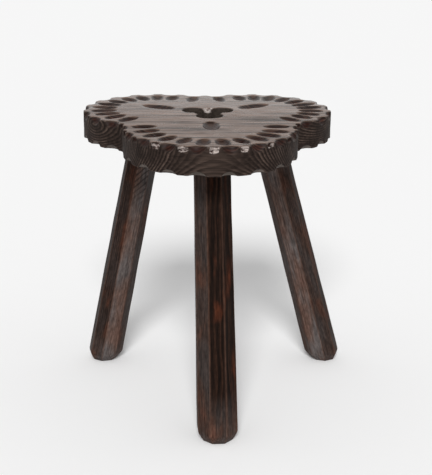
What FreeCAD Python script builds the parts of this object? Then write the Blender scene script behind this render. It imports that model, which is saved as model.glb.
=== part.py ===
import FreeCAD, Part
import math
import os

# Three-legged stool of stained pine: one carved plank seat staked on three eight-sided legs.
# Millimetres, +Z up, the floor at zero, the seat's front lobe towards -Y, its grain along X.

# Seat plank and its three-lobed outline
seat_height = 430.0
seat_thickness = 40.0
front_lobe_reach = 96.0
front_lobe_radius = 122.0
front_lobe_angle = -90.0
side_lobe_reach = 72.5
side_lobe_radius = 113.5
side_lobe_angle = 18.0
side_notch_radius = 18.0
back_notch_radius = 100.0

# Gouge flutes on the top, in a ring inside the rim
flutes_per_lobe = 12
flute_length = 40.0
flute_width = 20.0
flute_depth = 6.5
flute_setback = 10.0

# Thumbnail scoops that notch the top and bottom edges of the rim
scoops_per_lobe = 10
top_scoop_width = 27.0
top_scoop_inset = 8.0
top_scoop_drop = 11.5
bottom_scoop_width = 26.0
bottom_scoop_inset = 7.5
bottom_scoop_rise = 8.0

# Trefoil hand hole: rounds at the front, right and left, and two smaller ones that open them into each other
# and leave a point of wood at the back
hole_angles = (-86.0, 36.5, 143.5, -15.0, 195.0)
hole_reaches = (22.0, 26.0, 26.0, 9.0, 9.0)
hole_radii = (19.5, 16.5, 16.5, 10.5, 10.5)

# Three long gouge cuts that point away from the hole like leaves
leaf_angles = (-89.0, 32.0, 152.5)
leaf_reaches = (89.0, 82.0, 81.0)
leaf_length = 56.0
leaf_width = 25.0
leaf_depth = 7.5

# Legs: where each axis meets the seat's underside and the floor
leg_reach = 104.0
leg_top_width = 47.0
leg_foot_width = 53.5
front_foot_reach = 191.0
right_foot_reach = 219.0
left_foot_reach = 193.0
leg_names = ("front", "right", "left")
leg_top_angles = (-89.0, 29.0, 150.5)
leg_foot_angles = (-87.0, 26.5, 147.5)
leg_girth_shares = (1.06, 0.96, 0.96)
foot_chamfer_height = 13.0
foot_chamfer_inset = 8.0
leg_sides = 8

# A carving station, and the first corner of a leg's flat, lie this share of a step along
middle_share = 0.5

# Blind round tenons, each spread by a wedge in its saw kerf
tenon_diameter = 30.0
tenon_length = 26.0
tenon_clearance = 0.1
tenon_end_gap = 1.0
wedge_length = 18.0
wedge_head = 3.2
wedge_tip = 0.8
kerf_spare = 2.0

# How far a cutting shape passes the face that it cuts
overrun = 5.0

underside = seat_height - seat_thickness
up = FreeCAD.Vector(0, 0, 1)
foot_reaches = (front_foot_reach, right_foot_reach, left_foot_reach)


def polar(reach, angle, height=0.0):
    """Point at a distance and an angle in degrees about the seat's middle."""
    turn = math.radians(angle)
    return FreeCAD.Vector(reach * math.cos(turn), reach * math.sin(turn), height)


def heading(vector):
    """Angle of a level vector, in radians."""
    return math.atan2(vector.y, vector.x)


class Arc:
    """One round stretch of the seat's outline, walked counter-clockwise round the seat."""

    def __init__(self, middle, radius, start, turn):
        self.middle = middle
        self.radius = radius
        self.start = start
        self.turn = turn
        self.length = radius * abs(turn)

    def outward(self, along):
        """Level unit vector out of the seat, at a share of the stretch."""
        angle = self.start + self.turn * along
        side = 1 if self.turn > 0 else -1
        return FreeCAD.Vector(side * math.cos(angle), side * math.sin(angle), 0)

    def point(self, along):
        angle = self.start + self.turn * along
        return self.middle + FreeCAD.Vector(math.cos(angle), math.sin(angle), 0) * self.radius

    def station(self, along):
        return self.point(along), self.outward(along)


def corner_middle(first, first_radius, second, second_radius, corner_radius):
    """Middle of the hollow corner that touches two lobes from outside."""
    span = second - first
    gap = span.Length
    near = first_radius + corner_radius
    far = second_radius + corner_radius
    along = (gap * gap + near * near - far * far) / (2 * gap)
    aside = math.sqrt(near * near - along * along)
    forward = span * (1 / gap)
    return first + forward * along + forward.cross(up) * aside


def seat_outline():
    """Arcs of the rim in order: each lobe, then the hollow corner that follows it."""
    middles = (
        polar(front_lobe_reach, front_lobe_angle),
        polar(side_lobe_reach, side_lobe_angle),
        polar(side_lobe_reach, 180 - side_lobe_angle),
    )
    radii = (front_lobe_radius, side_lobe_radius, side_lobe_radius)
    corner_radii = (side_notch_radius, back_notch_radius, side_notch_radius)
    corners = []
    for lobe in range(3):
        after = (lobe + 1) % 3
        corner = corner_middle(middles[lobe], radii[lobe], middles[after], radii[after], corner_radii[lobe])
        corners.append(corner)
    arcs = []
    for lobe in range(3):
        after = (lobe + 1) % 3
        start = heading(corners[lobe - 1] - middles[lobe])
        turn = (heading(corners[lobe] - middles[lobe]) - start) % (2 * math.pi)
        arcs.append(Arc(middles[lobe], radii[lobe], start, turn))
        start = heading(middles[lobe] - corners[lobe])
        turn = (heading(middles[after] - corners[lobe]) - start) % (2 * math.pi) - 2 * math.pi
        arcs.append(Arc(corners[lobe], corner_radii[lobe], start, turn))
    return arcs


def rim_stations(arcs, count):
    """Evenly spaced carving stations round each lobe: a point on the rim and the way out of it."""
    stations = []
    for lobe in range(3):
        before = arcs[2 * lobe - 1]
        arc = arcs[2 * lobe]
        after = arcs[2 * lobe + 1]
        pitch = (before.length / 2 + arc.length + after.length / 2) / count
        for station in range(count):
            walked = (station + middle_share) * pitch - before.length / 2
            if walked < 0:
                stations.append(before.station(1 + walked / before.length))
            elif walked < arc.length:
                stations.append(arc.station(walked / arc.length))
            else:
                stations.append(after.station((walked - arc.length) / after.length))
    return stations


def seat_blank(arcs):
    edges = []
    for arc in arcs:
        round_edge = Part.Arc(arc.point(0), arc.point(0.5), arc.point(1))
        edges.append(round_edge.toShape())
    face = Part.Face(Part.Wire(edges))
    face.translate(up * underside)
    return face.extrude(up * seat_thickness)


def gouge_stroke(middle, along, length, width, depth):
    """Cut of a gouge that dips into the top and out again."""
    half_length = length / 2
    half_width = width / 2
    sweep = (half_length * half_length + depth * depth) / (2 * depth)
    gouge = (half_width * half_width + depth * depth) / (2 * depth)
    hub = FreeCAD.Vector(middle.x, middle.y, seat_height + sweep - depth)
    return Part.makeTorus(sweep - gouge, gouge, hub, along.cross(up))


def flute(rim, outward):
    """Gouge stroke that points at the rim."""
    middle = rim - outward * (flute_setback + flute_length / 2)
    return gouge_stroke(middle, outward, flute_length, flute_width, flute_depth)


def leaf(reach, angle):
    """Gouge stroke that points away from the hand hole."""
    return gouge_stroke(polar(reach, angle), polar(1, angle), leaf_length, leaf_width, leaf_depth)


def scoop(rim, outward, edge_height, facing, width, inset, rise):
    """Gouge stroke across an edge of the rim; facing is the level face's normal."""
    inner = rim - outward * inset
    inner.z = edge_height
    outer = FreeCAD.Vector(rim.x, rim.y, edge_height) - facing * rise
    slope = (outer - inner).normalize()
    depth = inset * rise / math.hypot(inset, rise)
    gouge = (width * width / 4 + depth * depth) / (2 * depth)
    lift = (facing + outward * facing.dot(slope) * (-1 / outward.dot(slope))).normalize()
    start = inner - slope * overrun + lift * gouge
    return Part.makeCylinder(gouge, math.hypot(inset, rise) + 2 * overrun, start, slope)


def rim_scoops(arcs):
    cutters = []
    for rim, outward in rim_stations(arcs, scoops_per_lobe):
        cutters.append(scoop(rim, outward, seat_height, up,
                             top_scoop_width, top_scoop_inset, top_scoop_drop))
        cutters.append(scoop(rim, outward, underside, up * -1,
                             bottom_scoop_width, bottom_scoop_inset, bottom_scoop_rise))
    return cutters


def hand_hole():
    depth = seat_thickness + 2 * overrun
    bottom = underside - overrun
    rounds = []
    for radius, reach, angle in zip(hole_radii, hole_reaches, hole_angles):
        rounds.append(Part.makeCylinder(radius, depth, polar(reach, angle, bottom)))
    return rounds[0].fuse(rounds[1:])


def leg_axis(leg):
    """Where a leg's axis meets the underside, and its direction upwards."""
    top = polar(leg_reach, leg_top_angles[leg], underside)
    foot = polar(foot_reaches[leg], leg_foot_angles[leg])
    return top, (top - foot).normalize()


def mortise(leg):
    top, rise = leg_axis(leg)
    radius = tenon_diameter / 2 + tenon_clearance
    start = top - rise * tenon_diameter
    return Part.makeCylinder(radius, tenon_diameter + tenon_length + tenon_end_gap, start, rise)


def make_seat():
    arcs = seat_outline()
    seat = seat_blank(arcs)
    seat = seat.cut(hand_hole())
    seat = seat.cut([leaf(reach, angle) for reach, angle in zip(leaf_reaches, leaf_angles)])
    seat = seat.cut([mortise(leg) for leg in range(len(leg_names))])
    seat = seat.cut([flute(rim, outward) for rim, outward in rim_stations(arcs, flutes_per_lobe)])
    return seat.cut(rim_scoops(arcs))


def leg_section(leg, height, width):
    """Level eight-sided outline of a leg, with one flat facing out from the seat's middle."""
    top, rise = leg_axis(leg)
    middle = top + rise * ((height - underside) / rise.z)
    reach = width / 2 / math.cos(math.pi / leg_sides)
    corners = []
    for side in range(leg_sides + 1):
        corners.append(middle + polar(reach, leg_foot_angles[leg] + (side + middle_share) * 360 / leg_sides))
    return Part.makePolygon(corners)


def wedge_solid(leg, head, length):
    """Tapered slip in the tenon's end; its broad faces stand across the seat's grain."""
    top, rise = leg_axis(leg)
    grain = FreeCAD.Vector(1, 0, 0)
    thick = (grain - rise * grain.dot(rise)).normalize()
    broad = rise.cross(thick)
    tip = wedge_head - (wedge_head - wedge_tip) * length / wedge_length
    half_outline = (
        (wedge_head / 2, head),
        (wedge_head / 2, tenon_length),
        (tip / 2, tenon_length - length),
    )
    right = [top + thick * aside + rise * along for aside, along in half_outline]
    left = [top - thick * aside + rise * along for aside, along in half_outline]
    outline = Part.makePolygon(right + left[::-1] + right[:1])
    outline.translate(broad * -tenon_diameter)
    return Part.Face(outline).extrude(broad * (2 * tenon_diameter))


def tenon(leg, end):
    """Round tenon from well inside the leg up to its end, along the leg's axis."""
    top, rise = leg_axis(leg)
    radius = tenon_diameter / 2
    return Part.makeCylinder(radius, radius + end, top - rise * radius, rise)


def make_leg(leg):
    share = leg_girth_shares[leg]
    foot_width = leg_foot_width * share
    sections = [
        leg_section(leg, 0, foot_width - 2 * foot_chamfer_inset),
        leg_section(leg, foot_chamfer_height, foot_width),
        leg_section(leg, underside, leg_top_width * share),
    ]
    shaft = Part.makeLoft(sections, True, True)
    shaft = shaft.fuse(tenon(leg, tenon_length))
    return shaft.cut(wedge_solid(leg, tenon_length + overrun, wedge_length + kerf_spare))


def make_wedge(leg):
    head = tenon_length + tenon_end_gap
    return wedge_solid(leg, head, wedge_length).common(tenon(leg, head))


pieces = {"seat": make_seat()}
for leg, name in enumerate(leg_names):
    pieces["leg_" + name] = make_leg(leg)
    pieces["wedge_" + name] = make_wedge(leg)

# The origin lies on the floor under the middle of the whole stool's box.
box = Part.makeCompound(list(pieces.values())).optimalBoundingBox(False, False)
to_origin = FreeCAD.Vector(-box.Center.x, -box.Center.y, -box.ZMin)

os.makedirs("parts", exist_ok=True)
for name, shape in pieces.items():
    shape.translate(to_origin)
    shape.exportStep("parts/" + name + ".step")
    print(name, shape.isValid(), len(shape.Solids), round(shape.Volume), shape.BoundBox)
print("shift", to_origin)
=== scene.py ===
import math

import bmesh
import bpy
import numpy as np
from mathutils import Matrix, Vector, noise
from mathutils.bvhtree import BVHTree


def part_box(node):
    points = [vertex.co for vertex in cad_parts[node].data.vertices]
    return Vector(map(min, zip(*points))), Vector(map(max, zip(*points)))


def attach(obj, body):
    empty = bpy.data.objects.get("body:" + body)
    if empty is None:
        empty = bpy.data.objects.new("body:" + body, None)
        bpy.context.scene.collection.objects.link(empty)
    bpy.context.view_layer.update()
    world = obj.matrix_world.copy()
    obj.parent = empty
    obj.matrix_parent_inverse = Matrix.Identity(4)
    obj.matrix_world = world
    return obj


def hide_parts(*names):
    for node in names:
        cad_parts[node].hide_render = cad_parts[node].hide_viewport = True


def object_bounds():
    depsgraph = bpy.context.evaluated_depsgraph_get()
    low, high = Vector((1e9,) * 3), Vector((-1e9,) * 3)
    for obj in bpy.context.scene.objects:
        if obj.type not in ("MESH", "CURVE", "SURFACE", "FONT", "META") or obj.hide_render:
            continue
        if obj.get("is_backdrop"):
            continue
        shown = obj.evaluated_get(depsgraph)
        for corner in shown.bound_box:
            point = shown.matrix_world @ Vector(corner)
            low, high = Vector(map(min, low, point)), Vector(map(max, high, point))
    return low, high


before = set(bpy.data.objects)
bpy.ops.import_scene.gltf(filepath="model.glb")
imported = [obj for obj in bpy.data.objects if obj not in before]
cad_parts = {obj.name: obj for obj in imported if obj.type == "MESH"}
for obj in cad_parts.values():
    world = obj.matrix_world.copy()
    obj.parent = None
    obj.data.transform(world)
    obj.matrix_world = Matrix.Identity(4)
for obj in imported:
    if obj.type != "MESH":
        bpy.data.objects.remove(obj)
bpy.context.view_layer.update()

# Seat
# One thick pine plank that holds the heart of its tree, sawn to three lobes and carved with a gouge: a
# ring of flutes inside the rim, scoops along both of its edges, three leaf-shaped cuts, and a pierced
# trefoil to carry it by. It is stained nearly black; use has rubbed the top and chipped the front edge.
mm = 0.001
seat_low, seat_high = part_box("seat")
underside = seat_low.z
seat_height = seat_high.z
plank = seat_height - underside

front_lobe_reach = 96 * mm
front_lobe_radius = 122 * mm
side_lobe_reach = 72.5 * mm
side_lobe_radius = 113.5 * mm
side_lobe_angle = math.radians(18)
side_notch_radius = 18 * mm
back_notch_radius = 100 * mm
seat_middle = Vector(((seat_low.x + seat_high.x) / 2, seat_low.y + front_lobe_reach + front_lobe_radius))


def polar(reach, angle):
    """Level offset at a distance and an angle in radians."""
    return Vector((reach * math.cos(angle), reach * math.sin(angle)))


def heading(offset):
    return math.atan2(offset.y, offset.x)


def hollow_middle(first, first_radius, second, second_radius, hollow_radius):
    """Middle of the hollow that joins two lobes from outside."""
    span = second - first
    near = first_radius + hollow_radius
    far = second_radius + hollow_radius
    along = (span.length_squared + near * near - far * far) / (2 * span.length)
    aside = math.sqrt(near * near - along * along)
    forward = span.normalized()
    return first + forward * along + Vector((forward.y, -forward.x)) * aside


def arc_points(middle, radius, start, turn, steps):
    """Points along an arc, without its last one."""
    return [middle + polar(radius, start + turn * step / steps) for step in range(steps)]


lobe_middles = (
    seat_middle + polar(front_lobe_reach, math.radians(-90)),
    seat_middle + polar(side_lobe_reach, side_lobe_angle),
    seat_middle + polar(side_lobe_reach, math.pi - side_lobe_angle),
)
lobe_radii = (front_lobe_radius, side_lobe_radius, side_lobe_radius)
hollow_radii = (side_notch_radius, back_notch_radius, side_notch_radius)
lobe_count = len(lobe_middles)
hollows = []
for lobe in range(lobe_count):
    after = (lobe + 1) % lobe_count
    hollows.append(hollow_middle(lobe_middles[lobe], lobe_radii[lobe],
                                 lobe_middles[after], lobe_radii[after], hollow_radii[lobe]))

# Each lobe's stretch of rim runs counter-clockwise from the depth of one notch to the depth of the next.
lobe_steps = 120
notch_steps = 12
full_turn = 2 * math.pi
lobe_rims = []
for lobe in range(lobe_count):
    middle = lobe_middles[lobe]
    before = lobe_middles[lobe - 1]
    after = lobe_middles[(lobe + 1) % lobe_count]
    hollow_in = hollows[lobe - 1]
    hollow_out = hollows[lobe]
    entry = heading(hollow_in - middle)
    turn = (heading(hollow_out - middle) - entry) % full_turn
    notch_in = heading(middle - hollow_in)
    notch_out = heading(middle - hollow_out)
    half_in = ((heading(before - hollow_in) - notch_in) % full_turn) / 2
    half_out = ((notch_out - heading(after - hollow_out)) % full_turn) / 2
    rim = arc_points(hollow_in, hollow_radii[lobe - 1], notch_in + half_in, -half_in, notch_steps)
    rim += arc_points(middle, lobe_radii[lobe], entry, turn, lobe_steps)
    rim += arc_points(hollow_out, hollow_radii[lobe], notch_out, -half_out, notch_steps)
    rim.append(hollow_out + polar(hollow_radii[lobe], notch_out - half_out))
    lobe_rims.append(rim)


def rim_curve(name, rims):
    """Stretches of rim as open lines on the floor, for the gouge strokes to follow."""
    curve = bpy.data.curves.new(name, "CURVE")
    curve.dimensions = "3D"
    for rim in rims:
        line = curve.splines.new("POLY")
        line.points.add(len(rim) - 1)
        for point, place in zip(line.points, rim):
            point.co = (place.x, place.y, 0, 1)
    return curve


def add_node(tree, kind, inputs=None, **settings):
    """Adds a node. An input is named by its socket's name or number, and is a value or an output."""
    node = tree.nodes.new(kind)
    for name, value in settings.items():
        setattr(node, name, value)
    for key, value in (inputs or {}).items():
        if isinstance(value, bpy.types.NodeSocket):
            tree.links.new(value, node.inputs[key])
        else:
            node.inputs[key].default_value = value
    return node


# Gouge strokes in a row along the rim: an ellipsoid stands for the sweep of the gouge's edge. Every second
# stop along the rim takes a stroke, and the stops between are left as ridges.
stroke_segments = 28
stroke_rings = 14
strokes = bpy.data.node_groups.new("gouge_strokes", "GeometryNodeTree")
stroke_inputs = {}
for name, kind in (
    ("Rim", "Geometry"), ("Strokes per lobe", "Int"), ("On ridges", "Int"), ("Setback", "Float"),
    ("Height", "Float"), ("Tilt", "Float"), ("Gouge", "Vector"), ("Lift", "Float"),
    ("Unevenness", "Float"), ("Seed", "Int"), ("Material", "Material"),
):
    stroke_inputs[name] = strokes.interface.new_socket(
        name, in_out="INPUT", socket_type="NodeSocket" + kind)
strokes.interface.new_socket("Strokes", in_out="OUTPUT", socket_type="NodeSocketGeometry")
given = add_node(strokes, "NodeGroupInput").outputs
stops = add_node(strokes, "ShaderNodeMath", {0: given["Strokes per lobe"], 1: 2.0, 2: 1.0},
                 operation="MULTIPLY_ADD")
stations = add_node(strokes, "GeometryNodeResampleCurve",
                    {"Curve": given["Rim"], "Count": stops.outputs[0]})
tangent = add_node(strokes, "GeometryNodeInputTangent")
outward = add_node(strokes, "ShaderNodeVectorMath", {0: tangent.outputs[0], 1: (0, 0, 1)},
                   operation="CROSS_PRODUCT")
stations = add_node(strokes, "GeometryNodeStoreNamedAttribute",
                    {"Geometry": stations.outputs[0], "Name": "outward", "Value": outward.outputs[0]},
                    data_type="FLOAT_VECTOR")
outward = add_node(strokes, "GeometryNodeInputNamedAttribute", {"Name": "outward"},
                   data_type="FLOAT_VECTOR")
wander = add_node(strokes, "FunctionNodeRandomValue",
                  {0: (-1, -1, -1), 1: (1, 1, 1), "Seed": given["Seed"]}, data_type="FLOAT_VECTOR")
wander = add_node(strokes, "ShaderNodeVectorMath",
                  {0: wander.outputs[0], "Scale": given["Unevenness"]}, operation="SCALE")
inward = add_node(strokes, "ShaderNodeMath", {0: given["Setback"], 1: -1.0}, operation="MULTIPLY")
inward = add_node(strokes, "ShaderNodeVectorMath",
                  {0: outward.outputs[0], "Scale": inward.outputs[0]}, operation="SCALE")
level = add_node(strokes, "ShaderNodeCombineXYZ", {"Z": given["Height"]})
inward = add_node(strokes, "ShaderNodeVectorMath", {0: inward.outputs[0], 1: level.outputs[0]})
stations = add_node(strokes, "GeometryNodeSetPosition",
                    {"Geometry": stations.outputs[0], "Offset": inward.outputs[0]})
turned = add_node(strokes, "FunctionNodeAlignRotationToVector", {"Vector": outward.outputs[0]},
                  axis="X", pivot_axis="Z")
wander_parts = add_node(strokes, "ShaderNodeSeparateXYZ", {0: wander.outputs[0]})
slant = add_node(strokes, "ShaderNodeCombineXYZ", {"Y": given["Tilt"], "Z": wander_parts.outputs["Z"]})
slant = add_node(strokes, "FunctionNodeEulerToRotation", {0: slant.outputs[0]})
turned = add_node(strokes, "FunctionNodeRotateRotation",
                  {"Rotation": turned.outputs[0], "Rotate By": slant.outputs[0]}, rotation_space="LOCAL")
place = add_node(strokes, "GeometryNodeSplineParameter")
parity = add_node(strokes, "ShaderNodeMath", {0: place.outputs["Index"], 1: given["On ridges"]},
                  operation="ADD")
parity = add_node(strokes, "ShaderNodeMath", {0: parity.outputs[0], 1: 2.0}, operation="MODULO")
stroke = add_node(strokes, "GeometryNodeMeshUVSphere",
                  {"Segments": stroke_segments, "Rings": stroke_rings, "Radius": 1.0})
lift = add_node(strokes, "ShaderNodeCombineXYZ", {"Z": given["Lift"]})
stroke = add_node(strokes, "GeometryNodeTransform",
                  {"Geometry": stroke.outputs[0], "Translation": lift.outputs[0], "Scale": given["Gouge"]})
girth = add_node(strokes, "ShaderNodeVectorMath", {0: wander.outputs[0], 1: (1, 1, 1)})
row = add_node(strokes, "GeometryNodeInstanceOnPoints",
               {"Points": stations.outputs[0], "Selection": parity.outputs[0],
                "Instance": stroke.outputs[0], "Rotation": turned.outputs[0], "Scale": girth.outputs[0]})
row = add_node(strokes, "GeometryNodeRealizeInstances", {"Geometry": row.outputs[0]})
row = add_node(strokes, "GeometryNodeSetMaterial",
               {"Geometry": row.outputs[0], "Material": given["Material"]})
add_node(strokes, "NodeGroupOutput", {0: row.outputs[0]})

pine_plank = bpy.data.materials.new("dark_stained_brushed_pine")


def cutter(name, mesh):
    """A loose object that a boolean can cut with."""
    tool = bpy.data.objects.new(name, mesh)
    bpy.context.scene.collection.objects.link(tool)
    return tool


def evaluated_mesh(thing):
    """A plain mesh of an object with its modifiers applied."""
    graph = bpy.context.evaluated_depsgraph_get()
    return bpy.data.meshes.new_from_object(thing.evaluated_get(graph), depsgraph=graph)


def carve_strokes(name, rims, **sizes):
    """Runs the gouge along stretches of rim and gives the strokes as one mesh."""
    row = bpy.data.objects.new(name, rim_curve(name, rims))
    run = row.modifiers.new("strokes", "NODES")
    run.node_group = strokes
    for label, value in sizes.items():
        run[stroke_inputs[label.replace("_", " ")].identifier] = value
    run[stroke_inputs["Material"].identifier] = pine_plank
    bpy.context.scene.collection.objects.link(row)
    mesh = evaluated_mesh(row)
    bpy.data.objects.remove(row)
    return cutter(name, mesh)


def gouge_for(length, width, depth):
    """Half axes of a gouge stroke that leaves a cut of that length, width and depth in a flat face."""
    rise_share = 3
    spread = 1 / math.sqrt(1 - (1 - 1 / rise_share) ** 2)
    return Vector((length / 2 * spread, width / 2 * spread, rise_share * depth))


flute_length = 40 * mm
flute_width = 20 * mm
flute_depth = 6.5 * mm
flute_setback = 10 * mm
flutes_per_lobe = 12
flute_unevenness = 0.09
flute_gouge = gouge_for(flute_length, flute_width, flute_depth)
cuts = [carve_strokes(
    "flutes", lobe_rims, Strokes_per_lobe=flutes_per_lobe, On_ridges=0,
    Setback=flute_setback + flute_length / 2, Height=seat_height, Tilt=0.0, Gouge=flute_gouge,
    Lift=flute_gouge.z - flute_depth, Unevenness=flute_unevenness, Seed=3)]

scoops_per_lobe = 10
scoop_unevenness = 0.07
scoop_length = 80 * mm
for name, edge, facing, width, inset, drop, seed in (
    ("top_scoops", seat_height, 1, 27 * mm, 8 * mm, 11.5 * mm, 5),
    ("bottom_scoops", underside, -1, 26 * mm, 7.5 * mm, 8 * mm, 8),
):
    slope = math.hypot(inset, drop)
    depth = inset * drop / slope
    gouge = (width * width / 4 + depth * depth) / (2 * depth)
    cuts.append(carve_strokes(
        name, lobe_rims, Strokes_per_lobe=scoops_per_lobe, On_ridges=0, Setback=inset / 2,
        Height=edge - facing * drop / 2, Tilt=math.pi / 2 - facing * math.atan2(inset, drop),
        Gouge=Vector((scoop_length / 2, gouge, gouge)), Lift=gouge, Unevenness=scoop_unevenness,
        Seed=seed))

# The front edge has lost splinters from its ridges.
chip_size = Vector((4.5, 7.0, 5.5)) * mm
chip_overhang = 0.5 * mm
chip_drop = 4 * mm
chip_lift = 1.5 * mm
chip_tilt = math.radians(50)
chip_unevenness = 0.4
chips = [carve_strokes(
    "front_chips", lobe_rims[:1], Strokes_per_lobe=scoops_per_lobe, On_ridges=1, Setback=-chip_overhang,
    Height=seat_height - chip_drop, Tilt=chip_tilt, Gouge=chip_size, Lift=chip_lift,
    Unevenness=chip_unevenness, Seed=2)]

# The trefoil goes right through and leaves a point of wood at the back whose tip has broken off. Each of
# its rounds has a reach from the middle, a radius and a heading. Three long strokes point away from it
# like leaves.
trefoil_rounds = (
    (22 * mm, 19.5 * mm, math.radians(-86)),
    (26 * mm, 16.5 * mm, math.radians(36.5)),
    (26 * mm, 16.5 * mm, math.radians(143.5)),
    (9 * mm, 10.5 * mm, math.radians(-15)),
    (9 * mm, 10.5 * mm, math.radians(195)),
)
broken_point = Vector((0, 18, 8)) * mm
broken_size = Vector((11, 22, 12)) * mm
leaf_angles = (math.radians(-89), math.radians(32), math.radians(152.5))
leaf_reaches = (89 * mm, 82 * mm, 81 * mm)
leaf_length = 56 * mm
leaf_width = 25 * mm
leaf_depth = 7.5 * mm


def add_egg(shape, half_axes, middle, turn):
    """Adds an egg-shaped body, turned about the upright, to a bmesh."""
    place = Matrix.Translation(middle) @ Matrix.Rotation(turn, 4, "Z") @ Matrix.Diagonal(half_axes).to_4x4()
    bmesh.ops.create_uvsphere(shape, u_segments=48, v_segments=24, radius=1, matrix=place)


def add_rod(shape, radius, length, middle, axis, sides=64):
    """Adds a capped round rod to a bmesh."""
    place = Matrix.Translation(middle) @ axis.to_track_quat("Z", "Y").to_matrix().to_4x4()
    bmesh.ops.create_cone(shape, cap_ends=True, segments=sides, radius1=radius, radius2=radius,
                          depth=length, matrix=place)


def mesh_of(shape, name):
    mesh = bpy.data.meshes.new(name)
    shape.to_mesh(mesh)
    shape.free()
    return mesh


up = Vector((0, 0, 1))
for reach, radius, angle in trefoil_rounds:
    centre = seat_middle + polar(reach, angle)
    shape = bmesh.new()
    add_rod(shape, radius, 2 * plank, Vector((centre.x, centre.y, seat_height - plank / 2)), up)
    cuts.append(cutter("trefoil", mesh_of(shape, "trefoil")))

leaf_gouge = gouge_for(leaf_length, leaf_width, leaf_depth)
shape = bmesh.new()
for reach, angle in zip(leaf_reaches, leaf_angles):
    centre = seat_middle + polar(reach, angle)
    add_egg(shape, leaf_gouge, Vector((centre.x, centre.y, seat_height + leaf_gouge.z - leaf_depth)), angle)
cuts.append(cutter("leaves", mesh_of(shape, "leaves")))
shape = bmesh.new()
add_egg(shape, broken_size, seat_middle.to_3d() + up * seat_height + broken_point, 0)
chips.append(cutter("broken_point", mesh_of(shape, "broken_point")))
cuts += chips

# Blind mortises, bored up from below on each leg's axis, which leans from its place on the floor to its
# place under the seat.
leg_reach = 104 * mm
legs = {
    "front": {"top": math.radians(-89), "foot": math.radians(-87), "reach": 191 * mm},
    "right": {"top": math.radians(29), "foot": math.radians(26.5), "reach": 219 * mm},
    "left": {"top": math.radians(150.5), "foot": math.radians(147.5), "reach": 193 * mm},
}
tenon_diameter = 30 * mm
tenon_length = 26 * mm
tenon_clearance = 0.1 * mm
tenon_end_gap = 1 * mm
mortise_radius = tenon_diameter / 2 + tenon_clearance
mortise_depth = tenon_length + tenon_end_gap
shape = bmesh.new()
for leg in legs.values():
    leg["shoulder"] = (seat_middle + polar(leg_reach, leg["top"])).to_3d() + up * underside
    leg["floor"] = (seat_middle + polar(leg["reach"], leg["foot"])).to_3d()
    leg["axis"] = (leg["shoulder"] - leg["floor"]).normalized()
    add_rod(shape, mortise_radius, 2 * mortise_depth, leg["shoulder"], leg["axis"])
cuts.append(cutter("mortises", mesh_of(shape, "mortises")))

# The plank before it is carved.
shape = bmesh.new()
outline = [place for rim in lobe_rims for place in rim[:-1]]
below = [shape.verts.new((place.x, place.y, underside)) for place in outline]
above = [shape.verts.new((place.x, place.y, seat_height)) for place in outline]
shape.faces.new(reversed(below))
shape.faces.new(above)
for here in range(len(outline)):
    following = (here + 1) % len(outline)
    shape.faces.new((below[here], below[following], above[following], above[here]))
uncut = BVHTree.FromBMesh(shape)
seat = cutter("carved_seat", mesh_of(shape, "plank"))

# Cutting, then a fine skin whose arrises are rubbed soft and whose faces keep the waver of hand work.
skin_cell = 1.1 * mm
waver_width = 22 * mm
waver_depth = 0.9 * mm
rub_share = 0.5
rub_passes = 3
kept_share = 0.36
for tool in cuts:
    cut = seat.modifiers.new(tool.name, "BOOLEAN")
    cut.object = tool
    cut.solver = "EXACT"
    cut.use_self = True
skin = seat.modifiers.new("skin", "REMESH")
skin.mode = "VOXEL"
skin.voxel_size = skin_cell
waver_pattern = bpy.data.textures.new("hand_waver", "CLOUDS")
waver_pattern.noise_scale = waver_width
waver = seat.modifiers.new("waver", "DISPLACE")
waver.texture = waver_pattern
waver.texture_coords = "LOCAL"
waver.strength = waver_depth
rubbed = seat.modifiers.new("rubbed", "SMOOTH")
rubbed.factor = rub_share
rubbed.iterations = rub_passes
thinned = seat.modifiers.new("thinned", "DECIMATE")
thinned.ratio = kept_share
seat_mesh = evaluated_mesh(seat)
broken = []
for tool in chips:
    corners = [v.co for v in tool.data.vertices]
    broken.append(BVHTree.FromPolygons(corners, [f.vertices for f in tool.data.polygons]))
for tool in cuts + [seat]:
    bpy.data.objects.remove(tool)
seat_mesh.name = "carved_seat"
seat_mesh.materials.clear()
seat_mesh.materials.append(pine_plank)
seat_mesh.polygons.foreach_set("use_smooth", [True] * len(seat_mesh.polygons))


def keep_attribute(mesh, name, values):
    mesh.attributes.new(name, "FLOAT", "POINT").data.foreach_set("value", np.asarray(values, np.float32))


def standing_proud(mesh):
    """How far each point stands out of its neighbours' middle, in shares of their distance."""
    place = np.zeros(len(mesh.vertices) * 3)
    mesh.vertices.foreach_get("co", place)
    place = place.reshape(-1, 3)
    normal = np.zeros(len(mesh.vertices) * 3)
    mesh.vertices.foreach_get("normal", normal)
    normal = normal.reshape(-1, 3)
    ends = np.zeros(len(mesh.edges) * 2, int)
    mesh.edges.foreach_get("vertices", ends)
    near, far = ends.reshape(-1, 2).T
    step = place[far] - place[near]
    length = np.linalg.norm(step, axis=1) + 1e-9
    lean = np.zeros(len(place))
    count = np.zeros(len(place))
    np.add.at(lean, near, -(step * normal[near]).sum(1) / length)
    np.add.at(lean, far, (step * normal[far]).sum(1) / length)
    np.add.at(count, near, 1)
    np.add.at(count, far, 1)
    return lean / np.maximum(count, 1)


keep_attribute(seat_mesh, "carved_mm", [uncut.find_nearest(v.co)[3] / mm for v in seat_mesh.vertices])
keep_attribute(seat_mesh, "wear_and_highlight", standing_proud(seat_mesh))
keep_attribute(seat_mesh, "level", [v.normal.z for v in seat_mesh.vertices])
hole_reach = 50 * mm
wall_level = 0.5
in_hole = [(v.co.xy - seat_middle).length < hole_reach and abs(v.normal.z) < wall_level
           for v in seat_mesh.vertices]
keep_attribute(seat_mesh, "in_hole", in_hole)

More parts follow.
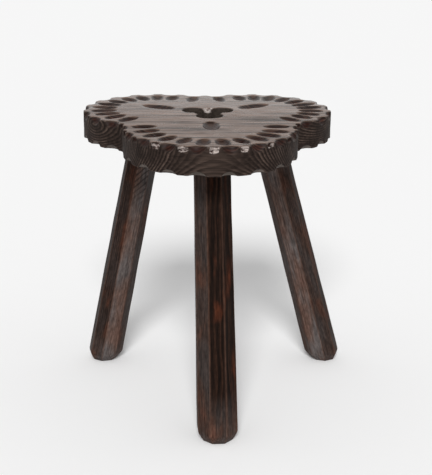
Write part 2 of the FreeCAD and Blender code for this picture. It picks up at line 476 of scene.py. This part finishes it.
# The chips are palest in the middle of the front, and fade from half-way out.
chip_skin = 4 * mm
chip_pale_share = 0.5
chipped = []
for vertex in seat_mesh.vertices:
    near = min(tree.find_nearest(vertex.co)[3] for tree in broken)
    off_middle = abs(vertex.co.x - seat_middle.x) / front_lobe_radius
    chipped.append(max(0, 1 - near / chip_skin) * min(1, 1 + chip_pale_share - off_middle))
keep_attribute(seat_mesh, "chipped", chipped)


def linear(colour):
    """An sRGB hex colour as linear red, green, blue and alpha."""
    parts = [int(colour[at:at + 2], 16) / 255 for at in (1, 3, 5)]
    return [c / 12.92 if c <= 0.04045 else ((c + 0.055) / 1.055) ** 2.4 for c in parts] + [1.0]


def repeats(cell):
    """A pattern's scale: how often a cell of that size repeats in a metre along each axis."""
    return [1 / size for size in cell]


# Brushed pine under a black-brown stain: the hard summer wood of each ring stands proud and is rubbed
# paler than the soft spring wood, and the rings lie round the heart along the plank. The cuts keep a red
# tint, and wax gives the top a grey sheen, strongest at a low angle and at the back, where it is thick.
# In the nodes, a Map Range's inputs 1 to 4 are its from low, from high, to low and to high. A Mix's input
# 0 is its share, 2 and 3 are its numbers, and 6 and 7 its colours.
heart_ring = 7.5 * mm
ring_thinning = 240 * mm
ring_drift = 7 * mm
ring_relief = 0.4 * mm
ring_flatness = 1.6
grain_stretch = 1000
heart_forward = 40 * mm
heart = (seat_middle.x, seat_middle.y - heart_forward, seat_height)
heart_tilt = math.radians(-3)
summer_start = 0.3
summer_full = 0.85
drift_cell = Vector((200, 62.5, 62.5)) * mm
gap_cell = Vector((40, 16.667, 16.667)) * mm
pine_plank.use_nodes = True
tree = pine_plank.node_tree
tree.nodes.clear()
spot = add_node(tree, "ShaderNodeTexCoord").outputs["Object"]
from_heart = add_node(tree, "ShaderNodeMapping",
                      {"Vector": spot, "Location": heart, "Rotation": (0, heart_tilt, 0),
                       "Scale": (grain_stretch, 1, 1 / ring_flatness)}, vector_type="TEXTURE")
from_heart = add_node(tree, "ShaderNodeVectorMath", {0: from_heart.outputs[0]}, operation="LENGTH")
drift_spot = add_node(tree, "ShaderNodeMapping", {"Vector": spot, "Scale": repeats(drift_cell)})
drift = add_node(tree, "ShaderNodeTexNoise", {"Vector": drift_spot.outputs[0], "Scale": 1.0, "Detail": 2.0})
from_heart = add_node(tree, "ShaderNodeMath",
                      {0: drift.outputs[0], 1: ring_drift, 2: from_heart.outputs["Value"]},
                      operation="MULTIPLY_ADD")
crowding = add_node(tree, "ShaderNodeMath", {0: from_heart.outputs[0], 1: 1 / ring_thinning, 2: 1.0},
                    operation="MULTIPLY_ADD")
years = add_node(tree, "ShaderNodeMath", {0: from_heart.outputs[0], 1: crowding.outputs[0]},
                 operation="MULTIPLY")
years = add_node(tree, "ShaderNodeMath", {0: years.outputs[0], 1: heart_ring}, operation="DIVIDE")
season = add_node(tree, "ShaderNodeMath", {0: years.outputs[0]}, operation="FRACT")
summer = add_node(tree, "ShaderNodeMapRange",
                  {"Value": season.outputs[0], 1: summer_start, 2: summer_full},
                  interpolation_type="SMOOTHSTEP")
year = add_node(tree, "ShaderNodeMath", {0: years.outputs[0]}, operation="FLOOR")
year = add_node(tree, "ShaderNodeTexWhiteNoise", {"W": year.outputs[0]}, noise_dimensions="1D")
year = add_node(tree, "ShaderNodeMapRange", {"Value": year.outputs["Value"], 3: 0.4, 4: 1.0})
summer = add_node(tree, "ShaderNodeMath", {0: summer.outputs[0], 1: year.outputs[0]}, operation="MULTIPLY")
gap_spot = add_node(tree, "ShaderNodeMapping", {"Vector": spot, "Scale": repeats(gap_cell)})
gap = add_node(tree, "ShaderNodeTexNoise", {"Vector": gap_spot.outputs[0], "Scale": 1.0, "Detail": 3.0})
gap = add_node(tree, "ShaderNodeMapRange", {"Value": gap.outputs[0], 1: 0.38, 2: 0.6, 3: 0.25, 4: 1.0})
summer = add_node(tree, "ShaderNodeMath", {0: summer.outputs[0], 1: gap.outputs[0]}, operation="MULTIPLY")

# Wood fibres are finer than the eye meets at this distance, so they are drawn about three times too coarse.
fibre_cell = Vector((33.333, 2.381, 2.381)) * mm
streak_cell = Vector((142.86, 5.8824, 5.8824)) * mm
cloud_cell = 35.714 * mm
fibre_spot = add_node(tree, "ShaderNodeMapping", {"Vector": spot, "Scale": repeats(fibre_cell)})
fibre = add_node(tree, "ShaderNodeTexNoise", {"Vector": fibre_spot.outputs[0], "Scale": 1.0, "Detail": 3.0})
streak_spot = add_node(tree, "ShaderNodeMapping", {"Vector": spot, "Scale": repeats(streak_cell)})
streak = add_node(tree, "ShaderNodeTexNoise",
                  {"Vector": streak_spot.outputs[0], "Scale": 1.0, "Detail": 3.0})
streak = add_node(tree, "ShaderNodeMapRange", {"Value": streak.outputs[0], 1: 0.38, 2: 0.50})
cloud = add_node(tree, "ShaderNodeTexNoise",
                 {"Vector": spot, "Scale": 1 / cloud_cell, "Detail": 4.0, "Roughness": 0.6})

spring_stain = linear("#201916")
summer_stain = linear("#4d4039")
rubbed_dark = linear("#2d2017")
rubbed_pale = linear("#6a5142")
cut_spring = linear("#200f0b")
cut_summer = linear("#40241b")
floor_reflection_grey = linear("#716963")
arris_wear_and_highlight = linear("#786961")
dusty_wall = linear("#3a332e")
bare_wood = linear("#b7aba5")

# The middle of the front is cut along the rings, so they show only faintly there.
faint_reach = 15 * mm
clear_reach = 60 * mm
place = add_node(tree, "ShaderNodeSeparateXYZ", {0: spot}).outputs
aside = add_node(tree, "ShaderNodeMath", {0: place["X"], 1: seat_middle.x}, operation="SUBTRACT")
aside = add_node(tree, "ShaderNodeMath", {0: aside.outputs[0]}, operation="ABSOLUTE")
clear = add_node(tree, "ShaderNodeMapRange",
                 {"Value": aside.outputs[0], 1: faint_reach, 2: clear_reach, 3: 0.55, 4: 1.0})
drawn = add_node(tree, "ShaderNodeMix", {0: clear.outputs[0], 2: 0.4, 3: summer.outputs[0]})
side = add_node(tree, "ShaderNodeMix", {0: drawn.outputs[0], 6: spring_stain, 7: summer_stain},
                data_type="RGBA")
face = add_node(tree, "ShaderNodeMix", {0: streak.outputs[0], 6: rubbed_dark, 7: rubbed_pale},
                data_type="RGBA")
fresh = add_node(tree, "ShaderNodeMix", {0: summer.outputs[0], 6: cut_spring, 7: cut_summer},
                 data_type="RGBA")

# Wax lies on what faces up near the top, the rubbed colour on the flat top alone and the tint in the cuts.
shade_depth = 18 * mm
shade_full_depth = 10 * mm
top_depth = 9 * mm
top_full_depth = 0.8 * mm
height = place["Z"]
level = add_node(tree, "ShaderNodeAttribute", attribute_name="level").outputs["Fac"]
near_top = add_node(tree, "ShaderNodeMapRange",
                    {"Value": height, 1: seat_height - shade_depth, 2: seat_height - shade_full_depth})
waxed = add_node(tree, "ShaderNodeMapRange", {"Value": level, 1: 0.3, 2: 0.7})
waxed = add_node(tree, "ShaderNodeMath", {0: waxed.outputs[0], 1: near_top.outputs[0]},
                 operation="MULTIPLY")
flat = add_node(tree, "ShaderNodeMapRange", {"Value": level, 1: 0.75, 2: 0.98})
on_top = add_node(tree, "ShaderNodeMapRange",
                  {"Value": height, 1: seat_height - top_depth, 2: seat_height - top_full_depth})
on_top = add_node(tree, "ShaderNodeMath", {0: on_top.outputs[0], 1: flat.outputs[0]}, operation="MULTIPLY")
colour = add_node(tree, "ShaderNodeMix", {0: on_top.outputs[0], 6: side.outputs[2], 7: face.outputs[2]},
                  data_type="RGBA")
carved = add_node(tree, "ShaderNodeAttribute", attribute_name="carved_mm").outputs["Fac"]
tint = add_node(tree, "ShaderNodeMapRange", {"Value": carved, 1: 0.7, 2: 3.0, 3: 0.0, 4: 0.9})
tint = add_node(tree, "ShaderNodeMath", {0: tint.outputs[0], 1: near_top.outputs[0]}, operation="MULTIPLY")
spared = add_node(tree, "ShaderNodeMapRange", {"Value": on_top.outputs[0], 1: 0.0, 2: 1.0, 3: 1.0, 4: 0.3})
tint = add_node(tree, "ShaderNodeMath", {0: tint.outputs[0], 1: spared.outputs[0]}, operation="MULTIPLY")
colour = add_node(tree, "ShaderNodeMix", {0: tint.outputs[0], 6: colour.outputs[2], 7: fresh.outputs[2]},
                  data_type="RGBA")

# The scoops of the lower edge are painted grey as a reflection of the white floor, dust lies on the walls
# of the hole, the arrises are worn pale and painted lighter as highlights, and the chips show bare wood.
reflection_rise = 9 * mm
reflection_full_rise = 4 * mm
torn_cell = Vector((7.6923, 6.25, 3.0303)) * mm
# Painted reflection: the scoops low on the edge turn grey where they face down toward the white floor.
low = add_node(tree, "ShaderNodeMapRange",
               {"Value": height, 1: underside + reflection_rise, 2: underside + reflection_full_rise,
                3: 0.0, 4: 0.5})
reflecting_scoop = add_node(tree, "ShaderNodeMapRange", {"Value": carved, 1: 0.5, 2: 1.4})
low = add_node(tree, "ShaderNodeMath", {0: low.outputs[0], 1: reflecting_scoop.outputs[0]}, operation="MULTIPLY")
colour = add_node(tree, "ShaderNodeMix", {0: low.outputs[0], 6: colour.outputs[2], 7: floor_reflection_grey},
                  data_type="RGBA")
in_hole = add_node(tree, "ShaderNodeAttribute", attribute_name="in_hole").outputs["Fac"]
colour = add_node(tree, "ShaderNodeMix", {0: in_hole, 6: colour.outputs[2], 7: dusty_wall},
                  data_type="RGBA")
fleck = add_node(tree, "ShaderNodeMapRange", {"Value": fibre.outputs[0], 1: 0.3, 2: 0.7, 3: 0.6, 4: 1.4})
colour = add_node(tree, "ShaderNodeVectorMath", {0: colour.outputs[2], "Scale": fleck.outputs[0]},
                  operation="SCALE")
# The arrises are worn pale and also painted lighter as highlights where they stand proud.
wear_and_highlight = add_node(tree, "ShaderNodeAttribute", attribute_name="wear_and_highlight").outputs["Fac"]
wear_and_highlight = add_node(tree, "ShaderNodeMapRange", {"Value": wear_and_highlight, 1: 0.10, 2: 0.28, 3: 0.0, 4: 0.6})
colour = add_node(tree, "ShaderNodeMix", {0: wear_and_highlight.outputs[0], 6: colour.outputs[0], 7: arris_wear_and_highlight},
                  data_type="RGBA")
chip = add_node(tree, "ShaderNodeAttribute", attribute_name="chipped").outputs["Fac"]
torn_spot = add_node(tree, "ShaderNodeMapping", {"Vector": spot, "Scale": repeats(torn_cell)})
torn = add_node(tree, "ShaderNodeTexNoise",
                {"Vector": torn_spot.outputs[0], "Scale": 1.0, "Detail": 4.0, "Roughness": 0.7})
chip = add_node(tree, "ShaderNodeMath", {0: chip, 1: torn.outputs[0]}, operation="MULTIPLY")
chip = add_node(tree, "ShaderNodeMapRange", {"Value": chip.outputs[0], 1: 0.42, 2: 0.58})
colour = add_node(tree, "ShaderNodeMix", {0: chip.outputs[0], 6: colour.outputs[2], 7: bare_wood},
                  data_type="RGBA")

# The wax grows thicker and smoother from where sitters rub it to behind them.
wax_thin_forward = 50 * mm
wax_thick_back = 110 * mm
wax = add_node(tree, "ShaderNodeMapRange", {"Value": cloud.outputs[0], 1: 0.3, 2: 0.7, 3: 0.24, 4: 0.34})
back = add_node(tree, "ShaderNodeMapRange",
                {"Value": place["Y"], 1: seat_middle.y - wax_thin_forward,
                 2: seat_middle.y + wax_thick_back})
wax = add_node(tree, "ShaderNodeMix", {0: back.outputs[0], 2: wax.outputs[0], 3: 0.13})
gloss = add_node(tree, "ShaderNodeMix", {0: waxed.outputs[0], 2: 0.6, 3: wax.outputs[0]})
sheen = add_node(tree, "ShaderNodeMapRange", {"Value": streak.outputs[0], 3: 0.04, 4: 0.155})
thick = add_node(tree, "ShaderNodeMapRange", {"Value": streak.outputs[0], 3: 0.24, 4: 0.4})
sheen = add_node(tree, "ShaderNodeMix", {0: back.outputs[0], 2: sheen.outputs[0], 3: thick.outputs[0]})
sheen = add_node(tree, "ShaderNodeMix", {0: waxed.outputs[0], 2: 0.04, 3: sheen.outputs[0]})
relief = add_node(tree, "ShaderNodeMath", {0: fibre.outputs[0], 1: 0.6, 2: summer.outputs[0]},
                  operation="MULTIPLY_ADD")
relief = add_node(tree, "ShaderNodeBump",
                  {"Height": relief.outputs[0], "Distance": ring_relief, "Strength": 0.7})
skin = add_node(tree, "ShaderNodeBsdfPrincipled",
                {"Base Color": colour.outputs[2], "Roughness": gloss.outputs[0],
                 "Specular IOR Level": sheen.outputs[0], "Normal": relief.outputs[0]})
add_node(tree, "ShaderNodeOutputMaterial", {"Surface": skin.outputs[0]})

seat = bpy.data.objects.new("carved_seat", seat_mesh)
bpy.context.scene.collection.objects.link(seat)
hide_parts("seat")
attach(seat, "root")

# Legs
# Three splayed legs, hewn eight-sided from pine with a drawknife, thicker at the foot and eased where they
# meet the floor. Each ends in a round tenon that is driven into the plank and spread by a wedge.
leg_top_width = 47 * mm
leg_foot_width = 53.5 * mm
girth_shares = {"front": 1.06, "right": 0.96, "left": 0.96}
foot_chamfer_height = 13 * mm
foot_chamfer_inset = 8 * mm
foot_ease = 1.2 * mm
foot_ease_rise = 0.9 * mm
foot_ease_rest = 0.4 * mm
chamfer_ease = 1.5 * mm
chamfer_ease_rest = 0.2 * mm
plain_rise = 5 * mm
plain_rows = 80
leg_sides = 8
side_turn = full_turn / leg_sides
flat_points = 8
arris_radius = 1.5 * mm
arris_steps = 4
hewn_depth = 0.6 * mm
hewn_patch = Vector((20, 20, 70)) * mm
hewn_shift = 9
foot_fade = 10 * mm
shoulder_fade = 4 * mm
merge_distance = 0.005 * mm
sharp_angle = math.radians(40)

# How much painted grey each flat carries, counter-clockwise from the one that faces outward: a painted
# reflection of the white floor in the flats that face it. The painted grey also grows toward every foot,
# and a rasp has scored one flat of the left leg under the seat.
floor_sheen_flats = {
    "front": (0.0, 0.0, 0.2, 0.2, 0.2, 0.2, 0.2, 0.3),
    "right": (0.2, 0.2, 0.2, 0.3, 0.45, 0.9, 0.28, 0.1),
    "left": (0.2, 0.1, 0.14, 0.95, 0.4, 0.3, 0.2, 0.2),
}
foot_grey_height = 130 * mm
foot_grey = 0.55
rasped_flat = ("left", 3)
rasped_height = 120 * mm
rasp_mark = 0.65
rasp_fade = 2
pine_leg = bpy.data.materials.new("dark_stained_hewn_pine")

# Heights up the leg, each with how far the eased and chamfered foot is cut in there.
first_row = foot_chamfer_height + plain_rise
leg_levels = [
    (0.0, foot_chamfer_inset + foot_ease),
    (foot_ease_rise, foot_chamfer_inset - foot_ease_rest),
    (foot_chamfer_height / 2, foot_chamfer_inset / 2),
    (foot_chamfer_height - chamfer_ease, foot_ease),
    (foot_chamfer_height + chamfer_ease, chamfer_ease_rest),
]
for row in range(plain_rows + 1):
    leg_levels.append((first_row + (underside - first_row) * row / plain_rows, 0.0))


def eight_sided(width):
    """Points round a level eight-sided outline with rounded arrises, first flat facing +X."""
    apothem = width / 2
    flat = (apothem - arris_radius) * math.tan(side_turn / 2)
    points = []
    for side in range(leg_sides):
        facing = side * side_turn
        for step in range(flat_points):
            aside = flat * (2 * step / (flat_points - 1) - 1)
            points.append(polar(apothem, facing) + polar(aside, facing + math.pi / 2))
        pivot = polar(apothem - arris_radius, facing) + polar(flat, facing + math.pi / 2)
        for step in range(1, arris_steps):
            points.append(pivot + polar(arris_radius, facing + side_turn * step / arris_steps))
    return points


for number, (name, leg) in enumerate(legs.items()):
    foot_width = leg_foot_width * girth_shares[name]
    top_width = leg_top_width * girth_shares[name]
    facing = Matrix.Rotation(leg["foot"], 2)
    shape = bmesh.new()
    rings = []
    for height, inset in leg_levels:
        share = max(height - foot_chamfer_height, 0) / (underside - foot_chamfer_height)
        width = foot_width + (top_width - foot_width) * share - 2 * inset
        middle = leg["floor"].lerp(leg["shoulder"], height / underside)
        ring = []
        for point in eight_sided(width):
            out = facing @ point
            place = Vector((middle.x + out.x, middle.y + out.y, height))
            dip = noise.noise(Vector((place.x / hewn_patch.x, place.y / hewn_patch.y,
                                      place.z / hewn_patch.z + hewn_shift * number)))
            fade = min(1.0, height / foot_fade, (underside - height) / shoulder_fade)
            place -= (out.normalized() * (hewn_depth * dip * fade)).to_3d()
            ring.append(shape.verts.new(place))
        rings.append(ring)
    rise = leg["axis"]
    sideways = rise.orthogonal().normalized()
    other = rise.cross(sideways)
    on_shoulder = []
    on_end = []
    for vertex in rings[-1]:
        out = vertex.co - leg["shoulder"]
        angle = math.atan2(out.dot(other), out.dot(sideways))
        spoke = (sideways * math.cos(angle) + other * math.sin(angle)) * (tenon_diameter / 2)
        on_shoulder.append(shape.verts.new(leg["shoulder"] + spoke - rise * (spoke.z / rise.z)))
        on_end.append(shape.verts.new(leg["shoulder"] + spoke + rise * tenon_length))
    rings += [on_shoulder, on_end]
    for lower, upper in zip(rings, rings[1:]):
        for here in range(len(lower)):
            following = (here + 1) % len(lower)
            shape.faces.new((lower[here], lower[following], upper[following], upper[here]))
    shape.faces.new(reversed(rings[0]))
    shape.faces.new(rings[-1])
    bmesh.ops.recalc_face_normals(shape, faces=shape.faces)
    blank = cutter("blank", mesh_of(shape, "blank"))

    # The saw kerf in the tenon's end is as wide as the wedge that fills it.
    shape = bmesh.new()
    shape.from_mesh(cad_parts["wedge_" + name].data)
    bmesh.ops.remove_doubles(shape, verts=shape.verts, dist=merge_distance)
    kerf = cutter("kerf", mesh_of(shape, "kerf"))
    cut = blank.modifiers.new("kerf", "BOOLEAN")
    cut.object = kerf
    cut.solver = "EXACT"
    leg_mesh = evaluated_mesh(blank)
    bpy.data.objects.remove(blank)
    bpy.data.objects.remove(kerf)
    leg_mesh.name = "leg_" + name + "_hewn"
    leg_mesh.materials.clear()
    leg_mesh.materials.append(pine_leg)

    # Grain runs up the leg: places are kept along and across its own axis. The arrises are marked, and so
    # are the flats and feet painted grey as a reflection of the white floor, and the flat that a rasp has
    # scored.
    grain = []
    arris = []
    painted_floor_sheen = []
    rasped = []
    across = polar(1, leg["foot"]).to_3d()
    for vertex in leg_mesh.vertices:
        share = vertex.co.z / underside
        out = vertex.co - leg["floor"].lerp(leg["shoulder"], share)
        angle = heading(out) - leg["foot"]
        off_flat = abs((angle + side_turn / 2) % side_turn - side_turn / 2) / (side_turn / 2)
        arris.append(off_flat)
        side = round(angle / side_turn) % leg_sides
        painted_floor_sheen.append(max(floor_sheen_flats[name][side], foot_grey - vertex.co.z / foot_grey_height))
        up_to_seat = 1 - (underside - vertex.co.z) / rasped_height
        scored = min(rasp_mark, max(0, rasp_fade * up_to_seat))
        rasped.append(scored if (name, side) == rasped_flat else 0)
        grain += [out.dot(across), out.dot(up.cross(across)), vertex.co.z + number]
    leg_mesh.attributes.new("grain", "FLOAT_VECTOR", "POINT").data.foreach_set("vector", grain)
    keep_attribute(leg_mesh, "arris", arris)
    keep_attribute(leg_mesh, "painted_floor_sheen", painted_floor_sheen)
    keep_attribute(leg_mesh, "rasped", rasped)
    leg_mesh.polygons.foreach_set("use_smooth", [True] * len(leg_mesh.polygons))
    leg_mesh.set_sharp_from_angle(angle=sharp_angle)
    piece = bpy.data.objects.new("hewn_leg_" + name, leg_mesh)
    bpy.context.scene.collection.objects.link(piece)
    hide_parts("leg_" + name)
    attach(piece, "root")

# Hewn pine under the same stain: long ring lines, red-brown where the stain is thin, a painted grey
# reflection of the white floor on some flats and toward the feet, slanting rasp marks and rubbed arrises.
# The wax over it gives a soft sheen. Its fibres, too, are drawn coarser than they are.
leg_ring = 2.4 * mm
leg_drift = 6 * mm
leg_relief = 0.35 * mm
leg_heart = (45 * mm, 25 * mm, 0)
leg_sheen = 0.04
rasp_pitch = 5 * mm
rasp_slant = (0.7, 0.45, 1.0)
leg_drift_cell = Vector((50, 50, 250)) * mm
leg_fibre_cell = Vector((1.6667, 1.6667, 33.333)) * mm
patch_cell = Vector((22.222, 22.222, 71.429)) * mm
mottle_cell = Vector((3.0303, 3.0303, 9.0909)) * mm
leg_spring = linear("#150c08")
leg_summer = linear("#281912")
thin_stain = linear("#552b1a")
grey_painted_sheen = linear("#5b5452")
warm_painted_sheen = linear("#66524a")
arris_brown = linear("#5d4439")
score_dark = linear("#241c19")
pine_leg.use_nodes = True
tree = pine_leg.node_tree
tree.nodes.clear()
along = add_node(tree, "ShaderNodeAttribute", attribute_name="grain").outputs["Vector"]
heart = add_node(tree, "ShaderNodeMapping",
                 {"Vector": along, "Location": leg_heart, "Scale": (1, 1, 0)})
heart = add_node(tree, "ShaderNodeVectorMath", {0: heart.outputs[0]}, operation="LENGTH")
drift_spot = add_node(tree, "ShaderNodeMapping", {"Vector": along, "Scale": repeats(leg_drift_cell)})
drift = add_node(tree, "ShaderNodeTexNoise", {"Vector": drift_spot.outputs[0], "Scale": 1.0, "Detail": 2.0})
years = add_node(tree, "ShaderNodeMath", {0: drift.outputs[0], 1: leg_drift, 2: heart.outputs["Value"]},
                 operation="MULTIPLY_ADD")
years = add_node(tree, "ShaderNodeMath", {0: years.outputs[0], 1: leg_ring}, operation="DIVIDE")
season = add_node(tree, "ShaderNodeMath", {0: years.outputs[0]}, operation="FRACT")
summer = add_node(tree, "ShaderNodeMapRange", {"Value": season.outputs[0], 1: 0.3, 2: 0.9},
                  interpolation_type="SMOOTHSTEP")
fibre_spot = add_node(tree, "ShaderNodeMapping", {"Vector": along, "Scale": repeats(leg_fibre_cell)})
fibre = add_node(tree, "ShaderNodeTexNoise", {"Vector": fibre_spot.outputs[0], "Scale": 1.0, "Detail": 3.0})
patch_spot = add_node(tree, "ShaderNodeMapping", {"Vector": along, "Scale": repeats(patch_cell)})
patch = add_node(tree, "ShaderNodeTexNoise", {"Vector": patch_spot.outputs[0], "Scale": 1.0, "Detail": 5.0})
stain = add_node(tree, "ShaderNodeMix", {0: summer.outputs[0], 6: leg_spring, 7: leg_summer},
                 data_type="RGBA")
thin = add_node(tree, "ShaderNodeMapRange", {"Value": patch.outputs[0], 1: 0.56, 2: 0.76, 3: 0.0, 4: 0.7})
stain = add_node(tree, "ShaderNodeMix", {0: thin.outputs[0], 6: stain.outputs[2], 7: thin_stain},
                 data_type="RGBA")
fleck = add_node(tree, "ShaderNodeMapRange",
                 {"Value": fibre.outputs[0], 1: 0.32, 2: 0.68, 3: 0.45, 4: 1.45})
stain = add_node(tree, "ShaderNodeVectorMath", {0: stain.outputs[2], "Scale": fleck.outputs[0]},
                 operation="SCALE")
# Painted reflection: this grey stands for the white floor reflected in the flats and the feet.
painted_sheen = add_node(tree, "ShaderNodeAttribute", attribute_name="painted_floor_sheen").outputs["Fac"]
cover = add_node(tree, "ShaderNodeMapRange", {"Value": patch.outputs[0], 1: 0.3, 2: 0.65, 3: 1.1, 4: 0.75})
painted_sheen = add_node(tree, "ShaderNodeMath", {0: painted_sheen, 1: cover.outputs[0]}, operation="MULTIPLY")
cover = add_node(tree, "ShaderNodeMapRange", {"Value": fibre.outputs[0], 1: 0.35, 2: 0.65, 3: 0.6, 4: 1.2})
painted_sheen = add_node(tree, "ShaderNodeMath", {0: painted_sheen.outputs[0], 1: cover.outputs[0]}, operation="MULTIPLY",
                 use_clamp=True)
grey = add_node(tree, "ShaderNodeMapRange", {"Value": patch.outputs[0], 1: 0.42, 2: 0.6})
grey = add_node(tree, "ShaderNodeMix", {0: grey.outputs[0], 6: grey_painted_sheen, 7: warm_painted_sheen},
                data_type="RGBA")
stain = add_node(tree, "ShaderNodeMix", {0: painted_sheen.outputs[0], 6: stain.outputs[0], 7: grey.outputs[2]},
                 data_type="RGBA")
arris = add_node(tree, "ShaderNodeAttribute", attribute_name="arris").outputs["Fac"]
arris = add_node(tree, "ShaderNodeMapRange", {"Value": arris, 1: 0.80, 2: 1.0, 3: 0.0, 4: 0.4})
stain = add_node(tree, "ShaderNodeMix", {0: arris.outputs[0], 6: stain.outputs[2], 7: arris_brown},
                 data_type="RGBA")
slant = add_node(tree, "ShaderNodeVectorMath", {0: along, 1: rasp_slant}, operation="DOT_PRODUCT")
slant = add_node(tree, "ShaderNodeMath", {0: slant.outputs["Value"], 1: rasp_pitch}, operation="DIVIDE")
slant = add_node(tree, "ShaderNodeMath", {0: patch.outputs[0], 1: 2.0, 2: slant.outputs[0]},
                 operation="MULTIPLY_ADD")
slant = add_node(tree, "ShaderNodeMath", {0: slant.outputs[0], 1: 1.0}, operation="PINGPONG")
score = add_node(tree, "ShaderNodeMapRange", {"Value": slant.outputs[0], 1: 0.5, 2: 0.8})
rasped = add_node(tree, "ShaderNodeAttribute", attribute_name="rasped").outputs["Fac"]
score = add_node(tree, "ShaderNodeMath", {0: score.outputs[0], 1: rasped}, operation="MULTIPLY")
stain = add_node(tree, "ShaderNodeMix", {0: score.outputs[0], 6: stain.outputs[2], 7: score_dark},
                 data_type="RGBA")
mottle_spot = add_node(tree, "ShaderNodeMapping", {"Vector": along, "Scale": repeats(mottle_cell)})
mottle = add_node(tree, "ShaderNodeTexNoise",
                  {"Vector": mottle_spot.outputs[0], "Scale": 1.0, "Detail": 4.0, "Roughness": 0.6})
mottle = add_node(tree, "ShaderNodeMapRange",
                  {"Value": mottle.outputs[0], 1: 0.3, 2: 0.7, 3: 0.62, 4: 1.38})
stain = add_node(tree, "ShaderNodeVectorMath", {0: stain.outputs[2], "Scale": mottle.outputs[0]},
                 operation="SCALE")
gloss = add_node(tree, "ShaderNodeMapRange", {"Value": patch.outputs[0], 1: 0.3, 2: 0.7, 3: 0.45, 4: 0.6})
relief = add_node(tree, "ShaderNodeMath", {0: fibre.outputs[0], 1: 0.6, 2: summer.outputs[0]},
                  operation="MULTIPLY_ADD")
relief = add_node(tree, "ShaderNodeBump",
                  {"Height": relief.outputs[0], "Distance": leg_relief, "Strength": 0.7})
skin = add_node(tree, "ShaderNodeBsdfPrincipled",
                {"Base Color": stain.outputs[0], "Roughness": gloss.outputs[0],
                 "Specular IOR Level": leg_sheen, "Normal": relief.outputs[0]})
add_node(tree, "ShaderNodeOutputMaterial", {"Surface": skin.outputs[0]})

# Wedges
# A thin slip of split hardwood sits in the kerf of each tenon and spreads it in the blind mortise.
# It is left bare, because nobody sees it once the leg is home.
split_relief = 0.1 * mm
wedge_fibre_cell = Vector((1.1111, 1.1111, 16.667)) * mm
pale_fibre = linear("#b99a6b")
dark_fibre = linear("#8a6a42")

# Split hardwood, such as oak: a dry matt face with fibres along it, drawn coarser than they are.
split_hardwood = bpy.data.materials.new("split_bare_hardwood")
split_hardwood.use_nodes = True
tree = split_hardwood.node_tree
tree.nodes.clear()
spot = add_node(tree, "ShaderNodeTexCoord").outputs["Object"]
fibre_spot = add_node(tree, "ShaderNodeMapping", {"Vector": spot, "Scale": repeats(wedge_fibre_cell)})
fibre = add_node(tree, "ShaderNodeTexNoise", {"Vector": fibre_spot.outputs[0], "Scale": 1.0, "Detail": 4.0})
wood = add_node(tree, "ShaderNodeMix", {0: fibre.outputs[0], 6: pale_fibre, 7: dark_fibre},
                data_type="RGBA")
relief = add_node(tree, "ShaderNodeBump", {"Height": fibre.outputs[0], "Distance": split_relief})
skin = add_node(tree, "ShaderNodeBsdfPrincipled",
                {"Base Color": wood.outputs[2], "Roughness": 0.7, "Normal": relief.outputs[0]})
add_node(tree, "ShaderNodeOutputMaterial", {"Surface": skin.outputs[0]})
for name in legs:
    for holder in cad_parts["wedge_" + name].material_slots:
        holder.material = split_hardwood

# Floor, light and camera
# A white studio floor without a visible end, a broad soft lamp by the camera that throws the shadow back
# under the stool, light from all round, and a long lens a little above the seat.
floor_reach = 40.0
floor_white = linear("#fcfcfc")
room_white = linear("#f6f6f6")
fill_strength = 0.5
shape = bmesh.new()
bmesh.ops.create_grid(shape, x_segments=1, y_segments=1, size=floor_reach)
floor_mesh = mesh_of(shape, "studio_floor")
white_floor = bpy.data.materials.new("matt_white_floor")
white_floor.use_nodes = True
tree = white_floor.node_tree
tree.nodes.clear()
paint = add_node(tree, "ShaderNodeBsdfDiffuse", {"Color": floor_white})
add_node(tree, "ShaderNodeOutputMaterial", {"Surface": paint.outputs[0]})
floor_mesh.materials.append(white_floor)
floor = bpy.data.objects.new("studio_floor", floor_mesh)
bpy.context.scene.collection.objects.link(floor)
floor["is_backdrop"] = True

room = bpy.data.worlds.new("white_room")
room.use_nodes = True
tree = room.node_tree
tree.nodes.clear()
ray = add_node(tree, "ShaderNodeLightPath").outputs
seen = add_node(tree, "ShaderNodeMath", {0: ray["Is Camera Ray"], 1: ray["Is Glossy Ray"]},
                operation="MAXIMUM")
seen = add_node(tree, "ShaderNodeMath", {0: seen.outputs[0], 1: ray["Is Transmission Ray"]},
                operation="MAXIMUM")
fill = add_node(tree, "ShaderNodeBackground", {"Color": (1, 1, 1, 1), "Strength": fill_strength})
white = add_node(tree, "ShaderNodeBackground", {"Color": room_white, "Strength": 1.0})
light = add_node(tree, "ShaderNodeMixShader", {0: seen.outputs[0], 1: fill.outputs[0], 2: white.outputs[0]})
add_node(tree, "ShaderNodeOutputWorld", {"Surface": light.outputs[0]})
bpy.context.scene.world = room

lamp_azimuth = math.radians(-5)
lamp_elevation = math.radians(37)
lamp = bpy.data.lights.new("front_softbox", "SUN")
lamp.energy = 2.35
lamp.angle = math.radians(17)
lamp_stand = bpy.data.objects.new("front_softbox", lamp)
lamp_stand.rotation_euler = (math.pi / 2 - lamp_elevation, 0, lamp_azimuth)
bpy.context.scene.collection.objects.link(lamp_stand)

image_height_px = 475
focal_px = 1252.94
camera_aim = Vector((-2.76, 40.45, 237.88)) * mm
camera_azimuth = math.radians(-2.544)
camera_elevation = math.radians(17.762)
camera_roll = math.radians(0.59)
camera_distance = 1888.9 * mm
lens = bpy.data.cameras.new("studio_camera")
lens.sensor_width = 36
lens.lens = focal_px * lens.sensor_width / image_height_px
camera = bpy.data.objects.new("studio_camera", lens)
look = Matrix.Rotation(camera_azimuth, 4, "Z") @ Matrix.Rotation(math.pi / 2 - camera_elevation, 4, "X")
look = look @ Matrix.Rotation(camera_roll, 4, "Z")
back_off = look.to_3x3() @ Vector((0, 0, camera_distance))
camera.matrix_world = Matrix.Translation(camera_aim + back_off) @ look
bpy.context.scene.collection.objects.link(camera)
bpy.context.scene.camera = camera
bpy.context.scene.view_settings.view_transform = "Standard"

low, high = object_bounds()
